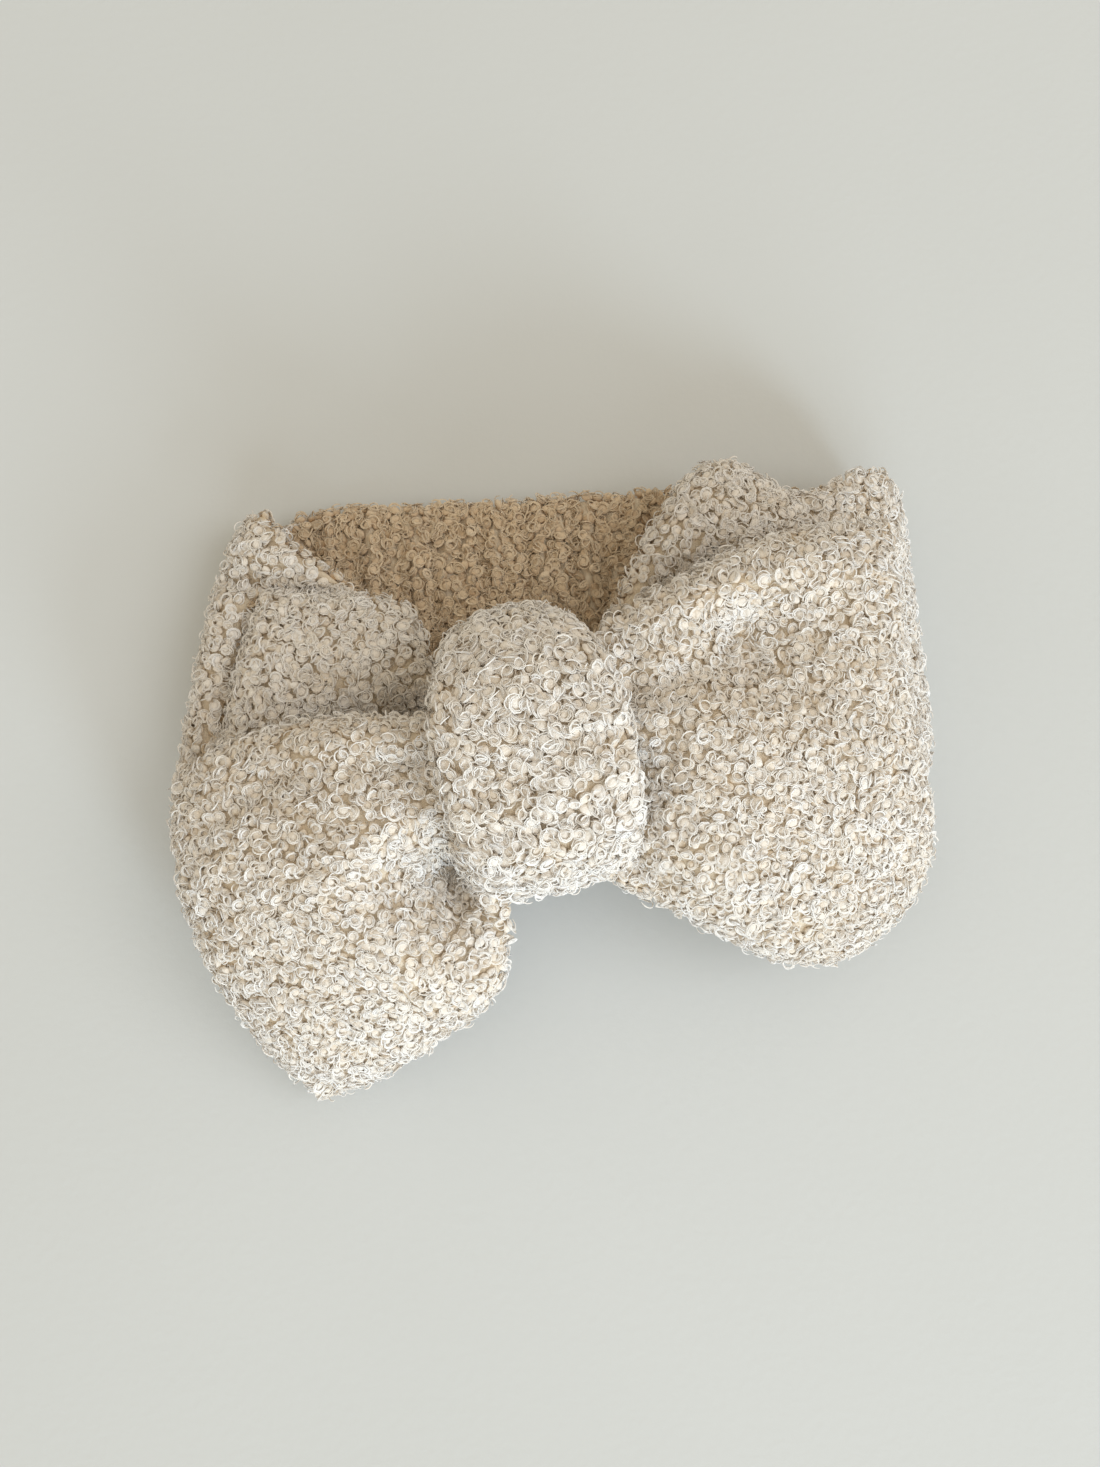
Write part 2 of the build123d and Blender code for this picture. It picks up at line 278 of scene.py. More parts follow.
def floor_material():
    """Pale matte table with a faint grain."""
    made, nodes, links, shader = material("table")
    cloud = noise_node(nodes, links, 3.0, 4.0)
    ramp = ramp_node(nodes, ((0.3, (0.645, 0.66, 0.665)), (0.7, (0.675, 0.69, 0.70))))
    links.new(cloud.outputs["Fac"], ramp.inputs["Fac"])
    links.new(ramp.outputs["Color"], shader.inputs["Base Color"])
    grain = noise_node(nodes, links, 320.0, 5.0)
    bump = nodes.new("ShaderNodeBump")
    bump.inputs["Strength"].default_value = 0.15
    bump.inputs["Distance"].default_value = 0.0006
    links.new(grain.outputs["Fac"], bump.inputs["Height"])
    links.new(bump.outputs["Normal"], shader.inputs["Normal"])
    shader.inputs["Roughness"].default_value = 0.7
    shader.inputs["Specular IOR Level"].default_value = 0.2
    return made


# the first colour of each curl yarn is painted shade at the roots, the second the yarn's own ivory at the
# tips
CURL = curl_material("boucle_curls", (0.81, 0.65, 0.46), (0.985, 0.952, 0.932))
# the inner faces' curls are a darker, browner copy of the same yarn: painted shade inside the ring and under
# the folds
CURL_INNER_SHADED = curl_material("boucle_curls_inner_painted_shade", (0.50, 0.305, 0.155), (0.83, 0.685, 0.515))
# the backing's darker tan is painted shade between the curls
BACKING = backing_material("boucle_backing", (0.76, 0.63, 0.48), (0.87, 0.77, 0.63))
TAPE = backing_material("elastic_tape", (0.78, 0.76, 0.72), (0.88, 0.87, 0.84))
THREAD = backing_material("sewing_thread", (0.70, 0.66, 0.58), (0.82, 0.78, 0.70))


# ---------------------------------------------------------------- curls

STRAND_STEPS = 9
STRAND_SIDES = 3
TUFT_RADIUS = 1.62
TUFT_FACING = 0.40  # how far the light falls on a tuft as on the cloth below it, 0 to 1
STRAND_RADIUS = 0.25
STRAND_FACING = 0.2
LOCK = ((-0.22, 0.10), (0.22, 0.0))  # radius and height of the coils that lie side by side


def unit(vectors):
    return vectors / np.maximum(np.linalg.norm(vectors, axis=-1, keepdims=True), 1e-9)


def tuft(draw):
    """A small lumpy ball of fluff: points, triangles and normals, in millimetres about its own middle."""
    work = bmesh.new()
    bmesh.ops.create_icosphere(work, subdivisions=2, radius=1.0)
    points = np.array([vert.co[:] for vert in work.verts])
    triangles = np.array([[vert.index for vert in face.verts] for face in work.faces])
    work.free()
    lumps = unit(draw.normal(size=(6, 3)))
    bulges = np.sum(np.maximum(points @ lumps.T, 0.6) - 0.6, axis=1)
    swell = 0.92 + 0.55 * bulges + draw.normal(0, 0.06, len(points))
    squash = np.array([draw.uniform(0.85, 1.12), draw.uniform(0.85, 1.12), 0.68])
    points = points * swell[:, None] * squash * TUFT_RADIUS
    return points, triangles, unit(points / squash**2)


def strand(draw, start, turns, reach, rise, tilt, way, offset):
    """One fine coil lying over the tuft: points, quads and normals."""
    along = np.linspace(0, 1, STRAND_STEPS)
    angle = start + along * turns * 2 * math.pi
    reach = reach * (0.88 + 0.18 * along + 0.07 * np.sin(2 * angle + start))
    path = np.stack([reach * np.cos(angle), reach * np.sin(angle), rise * (along - 0.5)], 1)
    lean = np.array([math.cos(way), math.sin(way), 0.0])
    turned = np.cross(lean, path)
    along_lean = np.outer(path @ lean, lean)
    path = path * math.cos(tilt) + turned * math.sin(tilt) + along_lean * (1 - math.cos(tilt))
    path += offset
    ahead = unit(np.gradient(path, axis=0))
    outward = unit(np.cross(ahead, np.cross(path, ahead)))
    upward = np.cross(ahead, outward)
    thick = STRAND_RADIUS * draw.uniform(0.85, 1.2) * (1 - 0.6 * np.abs(2 * along - 1) ** 3)
    turn = 2 * math.pi * np.arange(STRAND_SIDES) / STRAND_SIDES
    spread = np.cos(turn)[None, :, None] * outward[:, None] + np.sin(turn)[None, :, None] * upward[:, None]
    points = path[:, None] + thick[:, None, None] * spread
    quads = [
        (i * STRAND_SIDES + k, i * STRAND_SIDES + (k + 1) % STRAND_SIDES,
         (i + 1) * STRAND_SIDES + (k + 1) % STRAND_SIDES, (i + 1) * STRAND_SIDES + k)
        for i in range(STRAND_STEPS - 1) for k in range(STRAND_SIDES)
    ]
    normals = np.broadcast_to(spread, points.shape)
    return points.reshape(-1, 3), quads, normals.reshape(-1, 3)


def lock(draw):
    """The coils of one curl: two side by side, and two stray ones."""
    start, turns, reach = draw.uniform(0, 2 * math.pi), draw.uniform(0.7, 1.1), draw.uniform(1.45, 2.0)
    rise, tilt, way = draw.uniform(0.2, 0.9), math.radians(draw.uniform(0, 38)), draw.uniform(0, 2 * math.pi)
    offset = np.array([draw.normal(0, 0.4), draw.normal(0, 0.4), draw.uniform(0.75, 1.2)])
    for wider, higher in LOCK:
        shift = draw.normal(0, 0.25)
        yield strand(draw, start + shift, turns, reach + wider, rise, tilt, way, offset + (0, 0, higher))
    for _ in range(2):
        yield strand(draw, draw.uniform(0, 2 * math.pi), draw.uniform(0.45, 0.95), draw.uniform(1.3, 2.1),
                     draw.uniform(0.3, 1.0), math.radians(draw.uniform(5, 65)), draw.uniform(0, 2 * math.pi),
                     np.array([draw.normal(0, 0.5), draw.normal(0, 0.5), draw.uniform(0.5, 1.1)]))


def curl_prototype(draw):
    """One curl, its z standing off the cloth: points, triangles, UVs, which points are coils, and normals."""
    points, triangles, normals = tuft(draw)
    all_points, all_triangles, all_normals, base = [points], [triangles], [normals], len(points)
    for points, quads, normals in lock(draw):
        all_normals.append(normals)
        quads = np.array(quads) + base
        all_triangles += [quads[:, [0, 1, 2]], quads[:, [0, 2, 3]]]
        all_points.append(points)
        base += len(points)
    # shine marks the coils, which get a painted highlight
    shine = np.repeat([0.0, 1.0], [len(all_points[0]), base - len(all_points[0])])
    points, triangles = np.concatenate(all_points), np.concatenate(all_triangles)
    flat = points[:, :2] / (2 * np.abs(points[:, :2]).max()) + 0.5
    return points, triangles, flat[triangles], shine, np.concatenate(all_normals)


shapes = np.random.default_rng(5)
PROTOTYPES = [curl_prototype(shapes) for _ in range(14)]


def scatter(piece, spacing, keep=None):
    """Points and normals spread over a mesh, no two nearer than spacing, in metres."""
    mesh = piece.data
    mesh.calc_loop_triangles()
    corners = np.empty(len(mesh.loop_triangles) * 3, int)
    mesh.loop_triangles.foreach_get("vertices", corners)
    co = np.empty(len(mesh.vertices) * 3)
    mesh.vertices.foreach_get("co", co)
    no = np.empty(len(mesh.vertices) * 3)
    mesh.vertices.foreach_get("normal", no)
    corners, co, no = corners.reshape(-1, 3), co.reshape(-1, 3), no.reshape(-1, 3)
    a, b, c = co[corners[:, 0]], co[corners[:, 1]], co[corners[:, 2]]
    area = np.linalg.norm(np.cross(b - a, c - a), axis=1) / 2
    tries = int(area.sum() / (spacing * MM) ** 2 * 14)
    picked = rng.choice(len(corners), tries, p=area / area.sum())
    r1, r2 = np.sqrt(rng.random(tries)), rng.random(tries)
    weights = np.stack([1 - r1, r1 * (1 - r2), r1 * r2], 1)
    spots = np.einsum("nk,nkc->nc", weights, co[corners[picked]])
    facing = np.einsum("nk,nkc->nc", weights, no[corners[picked]])
    facing /= np.linalg.norm(facing, axis=1, keepdims=True)
    if keep is not None:
        wanted = keep(spots / MM - [*KNOT, 0], facing)
        spots, facing = spots[wanted], facing[wanted]
    cell = spacing * MM
    taken, chosen = {}, []
    keys = np.floor(spots / cell).astype(int)
    reach = [(i, j, k) for i in (-1, 0, 1) for j in (-1, 0, 1) for k in (-1, 0, 1)]
    for n, (x, y, z) in enumerate(keys.tolist()):
        spot = spots[n]
        near = (m for i, j, k in reach for m in taken.get((x + i, y + j, z + k), ()))
        if all(((spot - spots[m]) ** 2).sum() > cell * cell for m in near):
            taken.setdefault((x, y, z), []).append(n)
            chosen.append(n)
    return spots[chosen], facing[chosen]


def grow_curls(name, spots, facing, look, size=1.0, lift=0.55):
    """Mesh objects of curls standing at the given spots. Each vertex knows its depth and its curl's tone."""
    pieces = []
    order = np.argsort(spots[:, 0])
    spots, facing = spots[order], facing[order]
    parts = max(1, math.ceil(len(spots) / CURLS_PER_PIECE))
    for part, chosen in enumerate(np.array_split(np.arange(len(spots)), parts)):
        count = len(chosen)
        here, normal = spots[chosen], facing[chosen]
        axis = unit(normal + rng.normal(0, 0.30, (count, 3)))
        first = unit(np.cross(axis, rng.normal(size=(count, 3))))
        second = np.cross(axis, first)
        frames = np.stack([first, second, axis], 2) * (rng.uniform(0.84, 1.18, count) * size)[:, None, None]
        which = rng.integers(0, len(PROTOTYPES), count)
        raised = lift + rng.uniform(-0.5, 0.7, count)
        tones = rng.random(count)
        cells = math.ceil(math.sqrt(count))
        all_points, all_triangles, all_uv, all_depth, all_tone, all_facing = [], [], [], [], [], []
        start = 0
        for n in range(len(PROTOTYPES)):
            mine = np.flatnonzero(which == n)
            shape, triangles, corners, shine, outward = PROTOTYPES[n]
            local = np.einsum("nij,pj->npi", frames[mine], shape)
            depth = np.einsum("npi,ni->np", local, normal[mine]) + raised[mine][:, None]
            standing = local + normal[mine][:, None, :] * raised[mine][:, None, None]
            placed = here[mine][:, None, :] + standing * MM
            all_points.append(placed.reshape(-1, 3))
            offsets = start + np.arange(len(mine)) * len(shape)
            all_triangles.append((triangles[None] + offsets[:, None, None]).reshape(-1, 3))
            corner = np.stack([mine % cells, mine // cells], 1)[:, None, :]
            all_uv.append(((corners.reshape(1, -1, 2) * 0.9 + 0.05 + corner) / cells).reshape(-1, 2))
            # depth sets the painted shade towards the cloth; shine adds a painted highlight that makes the
            # coils lighter than the tufts
            all_depth.append(np.clip((depth + 0.4) / 4.9 + 0.24 * shine, 0, 1).reshape(-1))
            all_tone.append(np.repeat(tones[mine], len(shape)))
            share = np.where(shine > 0, STRAND_FACING, TUFT_FACING)[None, :, None]
            own = unit(np.einsum("nij,pj->npi", frames[mine], outward))
            all_facing.append(unit(own * (1 - share) + normal[mine][:, None, :] * share).reshape(-1, 3))
            start += len(mine) * len(shape)
        points, triangles = np.concatenate(all_points), np.concatenate(all_triangles)
        points[:, 2] = np.maximum(points[:, 2], 0.3 * MM)
        mesh = bpy.data.meshes.new(name)
        mesh.vertices.add(len(points))
        mesh.vertices.foreach_set("co", points.ravel())
        mesh.loops.add(triangles.size)
        mesh.loops.foreach_set("vertex_index", triangles.ravel())
        mesh.polygons.add(len(triangles))
        mesh.polygons.foreach_set("loop_start", np.arange(len(triangles)) * 3)
        mesh.polygons.foreach_set("loop_total", np.full(len(triangles), 3))
        mesh.polygons.foreach_set("use_smooth", np.ones(len(triangles), bool))
        mesh.update(calc_edges=True)
        mesh.uv_layers.new(name="OFBake").data.foreach_set("uv", np.concatenate(all_uv).ravel())
        for label, values in (("depth", all_depth), ("tone", all_tone)):
            layer = mesh.attributes.new(label, "FLOAT", "POINT")
            layer.data.foreach_set("value", np.concatenate(values).astype(np.float32))
        mesh.normals_split_custom_set_from_vertices(np.concatenate(all_facing))
        mesh.materials.append(look)
        piece = bpy.data.objects.new(f"{name}_{part + 1}" if parts > 1 else name, mesh)
        bpy.context.scene.collection.objects.link(piece)
        pieces.append(piece)
    return pieces


def pile(name, base, look, spacing=CURL_SPACING, keep=None, size=1.0, lift=0.55):
    """Cover a cloth with curls."""
    spots, facing = scatter(base, spacing, keep)
    return grow_curls(name, spots, facing, look, size, lift)


# ---------------------------------------------------------------- band

# Front of the ring: x, y, heading, width, height of its middle, outer and inner half thickness
FRONT = (
    (-96.0, 31.5, -11.5, 90.8, 27.1, 6.9, 6.9),
    (-78.7, 22.5, -10.8, 82.5, 28.0, 7.8, 7.0),
    (-62.0, 13.5, -8.5, 79.0, 28.6, 8.6, 7.2),
    (-41.0, 8.0, 0.0, 76.0, 29.8, 9.0, 7.8),
    (-25.4, -4.4, 12.0, 62.0, 32.9, 8.6, 8.2),
    (0.0, 0.0, 12.0, 58.0, 32.9, 8.6, 8.2),
    (25.4, 5.4, 12.0, 62.0, 32.9, 8.6, 8.2),
    (44.0, 21.0, 12.0, 88.0, 30.4, 9.4, 7.8),
    (68.0, 43.0, 5.0, 111.0, 29.2, 9.0, 7.4),
    (91.0, 41.0, 4.0, 94.0, 28.0, 7.6, 7.0),
    (113.7, 46.0, 4.8, 101.0, 27.1, 6.9, 6.9),
)
BACK_MIDDLE = 6.9
BACK_CROWN = (4.5, 6.5, 5.6, 5.4, 4.2, 0.0)  # how far the back's top edge bows out between the side folds
LEFT_BULGE = 3.5  # how far the left fold's side bows out
LEFT_FOLD = ((-84.5, 81.5), (-105.5, -13.0))
RIGHT_FOLD = ((109.5, 96.5), (118.0, -4.5))


def ring_stations():
    """Low edge, high edge and half thicknesses of the band at stations round the ring.

    The stations start at the back's left end.
    """
    low, high, thick, zone = [], [], [], []
    left_top, left_bottom = np.array(LEFT_FOLD)
    right_top, right_bottom = np.array(RIGHT_FOLD)
    turn = FOLD_RADIUS - BACK_MIDDLE
    for share, crown in zip((0, 0.2, 0.4, 0.6, 0.8, 1), BACK_CROWN):
        low.append([*(left_bottom + (right_bottom - left_bottom) * share), BACK_MIDDLE])
        high.append([*(left_top + (right_top - left_top) * share + (0, crown)), BACK_MIDDLE])
        thick.append((BACK_MIDDLE, BACK_MIDDLE))
    for top, bottom, sense, stations in (
        (right_top, right_bottom, 1, FRONT[::-1]),
        (left_top, left_bottom, -1, ()),
    ):
        run = (bottom - top) / np.linalg.norm(bottom - top)
        outward = np.array([-run[1], run[0]]) * sense
        if outward[0] * sense < 0:
            outward = -outward
        angles = (-45, 0, 45) if sense > 0 else (45, 0, -45)
        for angle in angles:
            out = math.cos(math.radians(angle)) * turn
            up = math.sin(math.radians(angle)) * turn
            low.append([*(bottom + outward * out), FOLD_RADIUS + up])
            high.append([*(top + outward * out), FOLD_RADIUS + up])
            thick.append((6.9, 6.9))
        for x, y, heading, width, z, outer, inner in stations:
            side = np.array([-math.sin(math.radians(heading)), math.cos(math.radians(heading))])
            low.append([*(np.array([x, y]) - side * width / 2), z])
            high.append([*(np.array([x, y]) + side * width / 2), z])
            thick.append((outer, inner))
    return np.array(low), np.array(high), np.array(thick)


def ring_surfaces(steps=300, columns=44):
    """The band's ring as a grid of its middle surface, with its normals, half thicknesses and the rounding
    off at its rims, from which the outer and inner faces are built.
    """
    low, high, thick = ring_stations()
    low, high, thick = (np.concatenate([a, a[:1]]) for a in (low, high, thick))
    lengths = np.linalg.norm(np.diff((low + high) / 2, axis=0), axis=1)
    knots = np.concatenate([[0], np.cumsum(lengths)])
    at = np.linspace(0, knots[-1], steps, endpoint=False)
    rows = spline_weights(knots, at, closed=True)
    low, high, thick = rows @ low, rows @ high, rows @ thick
    share = np.sin(np.linspace(-math.pi / 2, math.pi / 2, columns))
    middle = low[:, None] * (1 - share[None, :, None]) / 2 + high[:, None] * (1 + share[None, :, None]) / 2
    side = np.clip((-84.0 - middle[..., 0]) / 12.0, 0, 1)
    middle[..., 0] -= LEFT_BULGE * side * np.exp(-(((middle[..., 1] - 50.0) / 32.0) ** 2))
    normals = grid_normals(middle, wrap_rows=True)
    below = normals[:, :, 2][middle[:, :, 2] < 10].mean() > 0
    if below:
        normals = -normals
    round_off = np.sqrt(np.clip(1 - np.abs(share) ** 9, 0, 1))[None, :]
    return middle, normals, thick, round_off


def band_details(middle):
    """Soft lumps and creases of the band: shift of the whole band, then of its outer and inner faces."""
    plan = middle[:, :, :2]
    z = middle[:, :, 2]
    front = np.clip((z - 20) / 5, 0, 1)
    back = np.clip((12 - z) / 4, 0, 1)
    puff = mound(plan, (-66, 30), (17, 12), 8.0) + mound(plan, (-86, 18), (8, 18), 3.0)
    puff += mound(plan, (70, 80), (16, 14), 4.0)
    crease = groove(plan, ((-103, 60), (-82, 57), (-60, 55)), 1.0, 4.5)
    crease = np.maximum(crease, groove(plan, ((-93, 52), (-100, 25), (-105, 0)), 1.0, 4.2))
    crease = np.maximum(crease, groove(plan, ((-56, 2), (-42, 12), (-32, 18)), 0.7, 5.0))
    crease = np.maximum(crease, groove(plan, ((24, 34), (46, 58), (60, 66)), 0.6, 5.0))
    column = plan[:, :, 0] + 0.06 * plan[:, :, 1]
    gathers = 0.9 * np.sin(column * 0.74 + 0.8 * np.sin(column * 0.11)) + 0.6 * np.sin(column * 0.41 + 1.3)
    shift = -4.0 * crease * front
    outer = (puff - 4.6 * crease) * front + 0.35 * gathers * back
    inner = -1.6 * gathers * back + 0.5 * np.sin(column * 0.4) * front
    return shift, outer, inner


def cloth_from_faces(name, first, second):
    """Closed cloth between two grids of points, walled in round their rims."""
    rows, columns = first.shape[:2]
    points = np.concatenate([first.reshape(-1, 3), second.reshape(-1, 3)])
    faces = grid_faces(rows, columns)
    shift = rows * columns
    faces += [tuple(shift + n for n in reversed(face)) for face in grid_faces(rows, columns)]
    loop = [(i, 0) for i in range(rows)] + [(rows - 1, j) for j in range(1, columns)]
    loop += [(i, columns - 1) for i in range(rows - 2, -1, -1)] + [(0, j) for j in range(columns - 2, 0, -1)]
    ring = [i * columns + j for i, j in loop]
    faces += [(a, b, b + shift, a + shift) for a, b in zip(ring, ring[1:] + ring[:1])]
    return tidy(make_mesh(name, points, faces))


def build_band():
    """The band's strips: back, side folds and front, outer and inner, as closed cloths, which get their curls
    later.
    """
    middle, normals, thick, round_off = ring_surfaces()
    shift, outer_extra, inner_extra = band_details(middle)
    middle = middle + normals * shift[:, :, None]
    outer_rise = np.maximum(thick[:, :1] - PILE + outer_extra, 0.8) * round_off
    inner_rise = np.maximum(thick[:, 1:] - PILE + inner_extra, 0.8) * round_off
    outer = middle + normals * outer_rise[:, :, None]
    inner = middle - normals * inner_rise[:, :, None]
    skin = 0.25
    outer_core = middle + normals * (skin * round_off)[:, :, None]
    inner_core = middle - normals * (skin * round_off)[:, :, None]
    low, high, _ = ring_stations()
    count = len(middle)
    low, high = (np.concatenate([edge, edge[:1]]) for edge in (low, high))
    lengths = np.linalg.norm(np.diff((low + high) / 2, axis=0), axis=1)
    marks = np.concatenate([[0], np.cumsum(lengths)])
    ends = {"back": (0, 5), "right_fold": (5, 9), "front": (9, 19), "left_fold": (19, 23)}
    made = {}
    for zone, (start, stop) in ends.items():
        first = int(round(marks[start] / marks[-1] * count))
        last = int(round(marks[stop] / marks[-1] * count))
        rows = np.arange(first, last + 1) % count
        for side, face, core in (("outer", outer, outer_core), ("inner", inner, inner_core)):
            name = f"band_{zone}_{side}"
            made[name] = cloth_from_faces(name, face[rows], core[rows])
    return made


# ---------------------------------------------------------------- bow loops

ALONG = (-0.35, 0.0, 0.25, 0.5, 0.75, 1.0)
ACROSS = (-1.0, -0.5, 0.0, 0.5, 1.0)
TIP_ROWS = 16  # rows crowded into the last fifth, where the loop rounds off
LEFT_NET = (
    ((-8, -34, 57), (-10, -24, 59), (-12, -12, 60), (-14, -1, 60), (-16, 10, 60)),
    ((-8, -56, 45), (-23, -41, 54), (-34, -22, 57), (-38, -6, 58), (-42, 8, 58)),
    ((-15, -73, 30), (-36, -55, 45), (-53, -33, 50), (-59, -12, 52), (-63, 9, 51)),
    ((-35, -89, 20), (-55, -71, 33), (-72, -45, 41), (-80, -19, 45), (-83, 5, 46)),
    ((-51, -100, 13), (-69, -82, 23), (-86, -55, 33), (-95, -28, 39), (-100, -1, 42)),
    ((-69, -110, 9), (-85, -88, 15), (-99, -62, 22), (-108, -35, 30), (-113, -7, 38)),
)
RIGHT_NET = (
    ((8, -30, 57), (9, -16, 59), (10, -2, 60), (11, 12, 60), (12, 24, 60)),
    ((32, -42, 46), (31, -20, 54), (31, 2, 58), (31, 24, 59), (31, 43, 59)),
    ((53, -51, 37), (50, -25, 50), (49, 5, 54), (49, 33, 55), (50, 54, 57)),
    ((74, -61, 28), (70, -30, 44), (69, 2, 50), (69, 36, 52), (71, 64, 53)),
    ((99, -63, 21), (92, -31, 37), (89, 0, 46), (90, 36, 48), (93, 70, 49)),
    ((121, -45, 20), (125, -23, 28), (118, 6, 39), (114, 40, 43), (113, 74, 45)),
)


def loop_surfaces(net, crown, belly, dents, ripples, hang, rows=72, columns=64):
    """Front and back faces of a hollow loop about its middle surface."""
    flat_rows = np.linspace(ALONG[0], 0.8, rows - TIP_ROWS, endpoint=False)
    tip_rows = 1 - 0.2 * np.cos(np.linspace(0, math.pi / 2, TIP_ROWS))
    at_rows = np.concatenate([flat_rows, tip_rows])
    at_columns = np.sin(np.linspace(-math.pi / 2, math.pi / 2, columns))
    middle = surface(net, ALONG, ACROSS, at_rows, at_columns)
    normals = grid_normals(middle)
    if normals[..., 2].mean() < 0:
        normals = -normals
    a, s = at_rows[:, None], at_columns[None, :]
    ends = np.sqrt(np.clip(1 - np.clip((a - 0.55) / 0.45, 0, 1) ** 3.2, 0, 1))
    ends = ends * np.sqrt(np.clip((a - ALONG[0]) / 0.05, 0, 1))
    sides = np.sqrt(np.clip(1 - np.abs(s) ** 2.6, 0, 1))
    swell = 0.3 + 0.7 * np.sin(np.clip((a + 0.02) / 0.32, 0, 1) * math.pi / 2)
    up = crown * ends * sides * swell
    down = belly * ends * sides * (0.7 + 0.3 * np.clip((a + 0.05) / 0.4, 0, 1))
    for at_a, at_s, reach_a, reach_s, depth in dents:
        up = up - depth * np.exp(-(((a - at_a) / reach_a) ** 2 + ((s - at_s) / reach_s) ** 2)) * ends * sides
    fade = np.exp(-((np.clip(a, 0, 1) / 0.32) ** 2)) * ends * sides
    for waves, phase, height in ripples:
        up = up + height * np.sin(waves * s * math.pi + phase + 1.5 * a) * fade
        down = down + 0.7 * height * np.sin(waves * s * math.pi + phase + 2.0) * fade
    up = up + 0.5 * np.sin(9 * a + 7 * s) * np.sin(11 * s - 5 * a) * ends * sides
    down = np.maximum(down, 1.5 - up)
    back = middle - normals * down[..., None]
    sag = np.exp(-(((a - hang[0]) / hang[2]) ** 2 + ((s + 0.85) / 0.42) ** 2)) * ends * sides
    back += sag[..., None] * np.array(hang[1])
    return middle, middle + normals * up[..., None], back


def pillow(name, front, back):
    """Loop cloth from its front and back faces.

    Their rims lie about 1.5 mm apart and aren't joined, so the mesh is open and both faces are
    turned up. The back's curls therefore grow into the loop.
    """
    rows, columns = front.shape[:2]
    points = np.concatenate([front.reshape(-1, 3), back.reshape(-1, 3)])
    faces = grid_faces(rows, columns)
    shift = rows * columns
    faces += [tuple(shift + n for n in reversed(face)) for face in grid_faces(rows, columns)]
    return tidy(make_mesh(name, points, faces), merge=0.05)


def settle(piece, grip):
    """Move a loop's faces with Cloth under pressure. Points where grip is 1 stay put.

    The loop's mesh is open, so the pressure pushes its faces but doesn't inflate it.
    """
    at_rest = np.array([point.co[:] for point in piece.data.vertices])
    hold = piece.vertex_groups.new(name="held")
    for point, share in enumerate(grip(at_rest / MM - [*KNOT, 0])):
        hold.add([point], float(share), "REPLACE")
    cloth = piece.modifiers.new("cloth", "CLOTH")
    cloth.settings.quality = 4
    cloth.settings.mass = 0.25
    cloth.settings.use_pressure = True
    cloth.settings.uniform_pressure_force = SETTLE_PRESSURE
    cloth.settings.vertex_group_mass = hold.name
    cloth.settings.effector_weights.gravity = 0.0
    cloth.point_cache.frame_end = SETTLE_FRAMES
    scene = bpy.context.scene
    for frame_number in range(1, SETTLE_FRAMES + 1):
        scene.frame_set(frame_number)
    shaped = piece.evaluated_get(bpy.context.evaluated_depsgraph_get()).to_mesh()
    moved = np.array([point.co[:] for point in shaped.vertices]) - at_rest
    piece.modifiers.remove(cloth)
    piece.vertex_groups.remove(hold)
    scene.frame_set(1)
    step = np.linalg.norm(moved, axis=1, keepdims=True)
    moved *= np.minimum(1, SETTLE_MOST * MM / np.maximum(step, 1e-9))
    settled = at_rest + moved
    settled[:, 2] = np.maximum(settled[:, 2], 1.0 * MM)
    piece.data.vertices.foreach_set("co", settled.ravel())
    piece.data.update()


# ---------------------------------------------------------------- knot

def knot_narrowing(angle):
    """How much shorter the wrap is at each angle round it: it is pulled in where it turns under the band."""
    return 1 - 0.34 * np.maximum(np.cos(angle), 0) ** 3 - 0.12 * np.maximum(-np.cos(angle), 0) ** 2


def build_knot(rows=64, columns=150):
    """The wrap: a fat rounded barrel, gathered across its lower front, its ends turned in."""
    half = KNOT_LENGTH / 2
    along = np.array([-0.55, -0.80, -0.93, -1.0, -1.02, -0.98, -0.88, -0.7, -0.45, -0.15])
    along = np.concatenate([along, -along[::-1]])
    scale = np.array([0.50, 0.61, 0.68, 0.75, 0.81, 0.865, 0.915, 0.955, 0.985, 1.0])
    scale = np.concatenate([scale, scale[::-1]])
    marks = np.linspace(0, 1, len(along))
    dense = np.linspace(0, 1, rows)
    weights = spline_weights(marks, dense)
    along, scale = weights @ along, weights @ scale
    angle = np.linspace(0, 2 * math.pi, columns, endpoint=False)
    wide, tall = KNOT_WIDTH / 2 - PILE, (KNOT_TOP - KNOT_FLOOR) / 2 - PILE
    power = 2.5
    reach = (np.abs(np.cos(angle) / wide) ** power + np.abs(np.sin(angle) / tall) ** power) ** (-1 / power)
    a, t = along[:, None], angle[None, :]
    low_front = np.exp(-(((t - 1.15 * math.pi / 2 - 0.75) / 0.75) ** 2))
    gathers = 0.55 * np.sin(13 * t + 0.5 * np.sin(2.2 * a)) + 0.4 * np.sin(21 * t + 1.1 * a + 0.6)
    gathers *= 0.35 + 1.0 * low_front
    gathers += 0.6 * np.sin(5 * t + 1.7 + 0.8 * a) + 0.5 * np.sin(2.4 * a + 3 * t)
    radius = reach[None, :] * scale[:, None] + gathers * (1 - np.clip((0.9 - scale[:, None]) / 0.3, 0, 1))
    u = a * half * knot_narrowing(t)
    v, w = radius * np.cos(t), radius * np.sin(t)
    way = np.array([math.cos(KNOT_HEADING), math.sin(KNOT_HEADING)])
    skins = []
    for shrink in (0.0, WRAP_THICK):
        inset = 1 - shrink / half, 1 - shrink / wide, 1 - shrink / tall
        u_in, v_in, w_in = u * inset[0], v * inset[1], w * inset[2] + (KNOT_FLOOR + KNOT_TOP) / 2
        skins.append(np.stack([u_in * way[0] - v_in * way[1], u_in * way[1] + v_in * way[0], w_in], -1))
    points = np.concatenate([skin.reshape(-1, 3) for skin in skins])
    shift = rows * columns
    outer = grid_faces(rows, columns, wrap_columns=True)
    faces = outer + [tuple(shift + n for n in reversed(face)) for face in outer]
    for row in (0, rows - 1):
        ring = [row * columns + j for j in range(columns)]
        faces += [(p, q, q + shift, p + shift) for p, q in zip(ring, ring[1:] + ring[:1])]
    return tidy(make_mesh("knot_cloth", points, faces))


